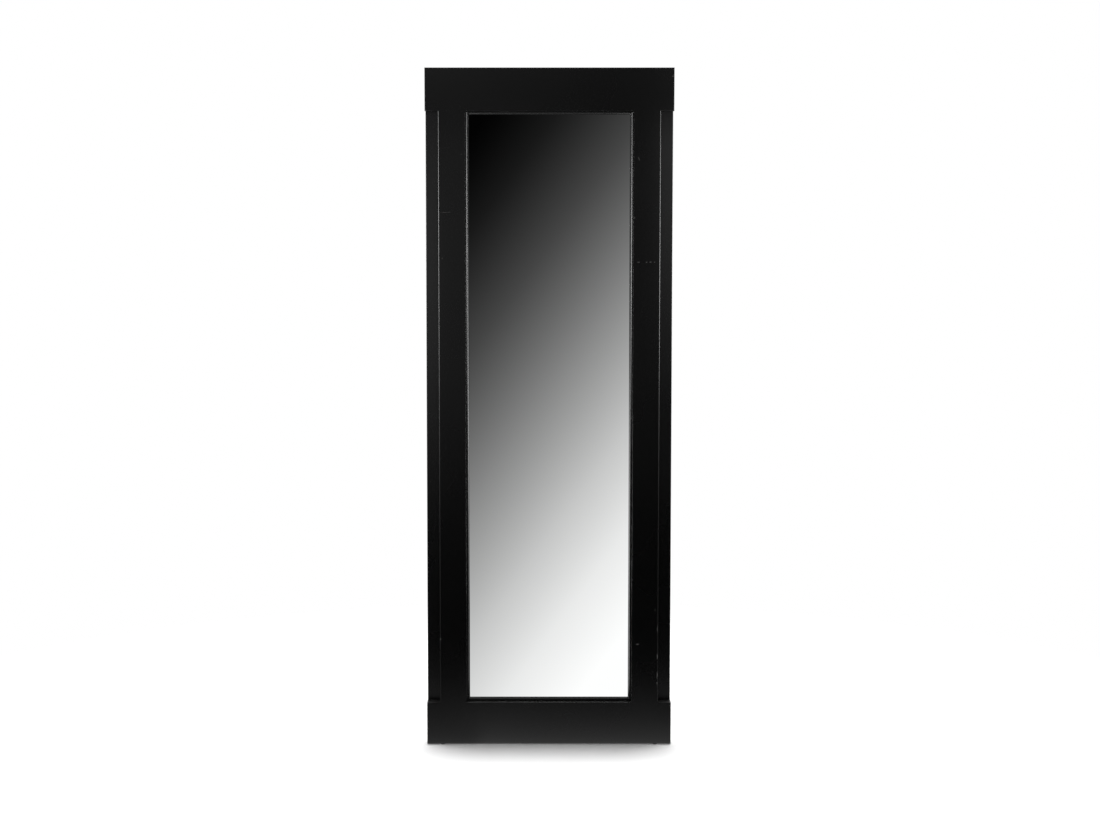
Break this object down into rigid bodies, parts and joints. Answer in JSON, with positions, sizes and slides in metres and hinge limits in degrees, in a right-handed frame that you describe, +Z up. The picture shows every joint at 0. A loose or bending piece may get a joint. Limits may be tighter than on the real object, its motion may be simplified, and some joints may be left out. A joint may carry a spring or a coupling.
{
  "type": "full length mirror",
  "caption": "Tall framed mirror with wide flush rails and stiles, a set-back strip down each side, a beaded sheet of glass, and back hardware to stand, lean or hang it.",
  "frame": {"origin": "on the floor, under the middle of the outer box", "axes": "+Z up, -Y the way the glass looks, +X to the viewer's right"},
  "size_m": [0.737, 0.065, 2.03],
  "materials": {
    "black_lacquer": "satin black lacquer",
    "black_back": "thin matt black paint",
    "silvered_glass": "polished",
    "foam": "soft closed-cell sheet",
    "fibreboard": "bare",
    "beech": "bare",
    "rubber": "matt",
    "plated_steel": "bright zinc plate",
    "felt": "pressed felt"
  },
  "bodies": {
    "mirror_body": {"top_rail": "black_lacquer", "bottom_rail": "black_lacquer", "left_stile": "black_lacquer", "right_stile": "black_lacquer", "loose_tenon_top_left": "beech", "loose_tenon_top_right": "beech", "loose_tenon_bottom_left": "beech", "loose_tenon_bottom_right": "beech", "rear_stile_left": "black_lacquer", "rear_stile_right": "black_lacquer", "rear_rail_top": "black_back", "rear_rail_bottom": "black_back", "bead_left": "black_lacquer", "bead_right": "black_lacquer", "bead_top": "black_lacquer", "bead_bottom": "black_lacquer", "mirror_glass": "silvered_glass", "foam_underlay": "foam", "back_panel": "fibreboard", "setting_block_left": "rubber", "setting_block_right": "rubber", "button_screw_left_lower": "plated_steel", "button_screw_left_middle": "plated_steel", "button_screw_left_upper": "plated_steel", "button_screw_right_lower": "plated_steel", "button_screw_right_middle": "plated_steel", "button_screw_right_upper": "plated_steel", "button_screw_top": "plated_steel", "button_screw_bottom": "plated_steel", "hanger_strap_left": "plated_steel", "hanger_strap_right": "plated_steel", "hanger_screw_left_upper": "plated_steel", "hanger_screw_left_lower": "plated_steel", "hanger_screw_right_upper": "plated_steel", "hanger_screw_right_lower": "plated_steel", "wall_bumper_bottom_left": "rubber", "wall_bumper_bottom_right": "rubber", "wall_bumper_top_left": "rubber", "wall_bumper_top_right": "rubber", "bumper_screw_bottom_left": "plated_steel", "bumper_screw_bottom_right": "plated_steel", "bumper_screw_top_left": "plated_steel", "bumper_screw_top_right": "plated_steel", "floor_pad_front_left": "felt", "floor_pad_front_right": "felt", "floor_pad_rear_left": "felt", "floor_pad_rear_right": "felt"},
    "button_left_lower": {"turn_button_left_lower": "plated_steel"},
    "button_left_middle": {"turn_button_left_middle": "plated_steel"},
    "button_left_upper": {"turn_button_left_upper": "plated_steel"},
    "button_right_lower": {"turn_button_right_lower": "plated_steel"},
    "button_right_middle": {"turn_button_right_middle": "plated_steel"},
    "button_right_upper": {"turn_button_right_upper": "plated_steel"},
    "button_top": {"turn_button_top": "plated_steel"},
    "button_bottom": {"turn_button_bottom": "plated_steel"},
    "ring_left": {"d_ring_left": "plated_steel"},
    "ring_right": {"d_ring_right": "plated_steel"}
  },
  "joints": [
    {"name": "button_left_lower_turn", "type": "hinge", "parent": "mirror_body", "child": "button_left_lower", "pos_m": [-0.2685, 0.025, 0.3358], "axis": [0, 1, 0], "continuous": true},
    {"name": "button_left_middle_turn", "type": "hinge", "parent": "mirror_body", "child": "button_left_middle", "pos_m": [-0.2685, 0.025, 1.016], "axis": [0, 1, 0], "continuous": true},
    {"name": "button_left_upper_turn", "type": "hinge", "parent": "mirror_body", "child": "button_left_upper", "pos_m": [-0.2685, 0.025, 1.6962], "axis": [0, 1, 0], "continuous": true},
    {"name": "button_right_lower_turn", "type": "hinge", "parent": "mirror_body", "child": "button_right_lower", "pos_m": [0.2685, 0.025, 0.3358], "axis": [0, 1, 0], "continuous": true},
    {"name": "button_right_middle_turn", "type": "hinge", "parent": "mirror_body", "child": "button_right_middle", "pos_m": [0.2685, 0.025, 1.016], "axis": [0, 1, 0], "continuous": true},
    {"name": "button_right_upper_turn", "type": "hinge", "parent": "mirror_body", "child": "button_right_upper", "pos_m": [0.2685, 0.025, 1.6962], "axis": [0, 1, 0], "continuous": true},
    {"name": "button_top_turn", "type": "hinge", "parent": "mirror_body", "child": "button_top", "pos_m": [0, 0.025, 1.925], "axis": [0, 1, 0], "continuous": true},
    {"name": "button_bottom_turn", "type": "hinge", "parent": "mirror_body", "child": "button_bottom", "pos_m": [0, 0.025, 0.107], "axis": [0, 1, 0], "continuous": true},
    {"name": "ring_left_swing", "type": "hinge", "parent": "mirror_body", "child": "ring_left", "pos_m": [-0.322, 0.0272, 1.7], "axis": [1, 0, 0], "range_deg": [0, 180]},
    {"name": "ring_right_swing", "type": "hinge", "parent": "mirror_body", "child": "ring_right", "pos_m": [0.322, 0.0272, 1.7], "axis": [1, 0, 0], "range_deg": [0, 180]}
  ]
}
